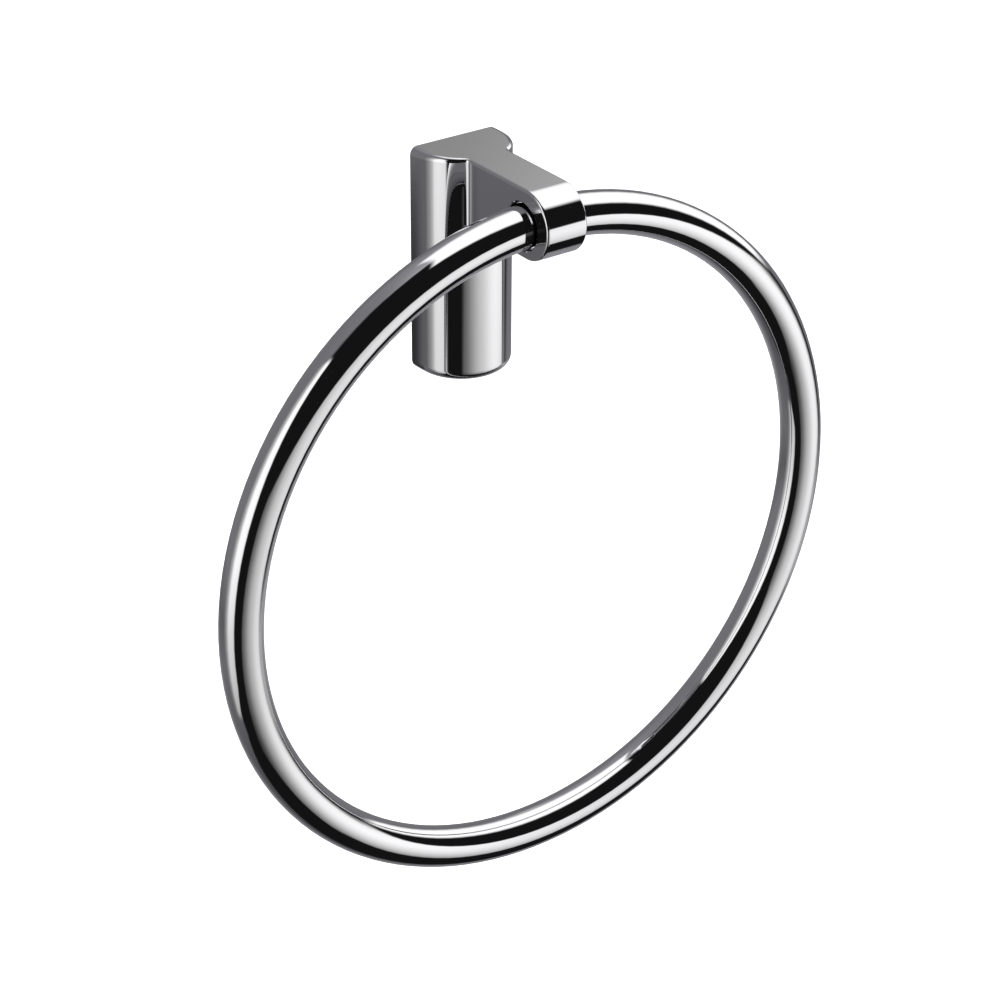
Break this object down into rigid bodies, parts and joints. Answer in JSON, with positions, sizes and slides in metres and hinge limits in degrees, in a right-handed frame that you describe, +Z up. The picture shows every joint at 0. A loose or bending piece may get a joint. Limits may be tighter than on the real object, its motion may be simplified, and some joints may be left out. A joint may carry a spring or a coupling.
{
  "type": "towel ring",
  "caption": "Wall-hung towel ring: a closed tube ring swings in the eye of a round-nosed arm cast in one with its D-shaped post, held on a hidden bracket by a grub screw.",
  "frame": {"origin": "on the wall plane, in the middle of the back of the post, where the bracket's flat lies on the wall", "axes": "+Y into the wall, +Z up, +X to the right for someone who faces the wall; the ring hangs in a plane parallel to XZ"},
  "size_m": [0.204, 0.0523, 0.2088],
  "materials": {
    "polished_chrome": "mirror-polished chrome plate",
    "brass_rod": "bare turned brass",
    "zinc_plated_steel": "bright zinc plate on pressed steel",
    "stainless_screw": "plain stainless"
  },
  "bodies": {
    "wall_post": {"post_and_arm": "polished_chrome", "wall_bracket": "zinc_plated_steel", "grub_screw": "stainless_screw"},
    "ring": {"ring_tube": "polished_chrome", "ring_joint_spigot": "brass_rod"}
  },
  "joints": [
    {"name": "ring_swing", "type": "hinge", "parent": "wall_post", "child": "ring", "pos_m": [0, -0.0406, 0.0223], "axis": [-1, 0, 0], "range_deg": [-10, 190]}
  ]
}
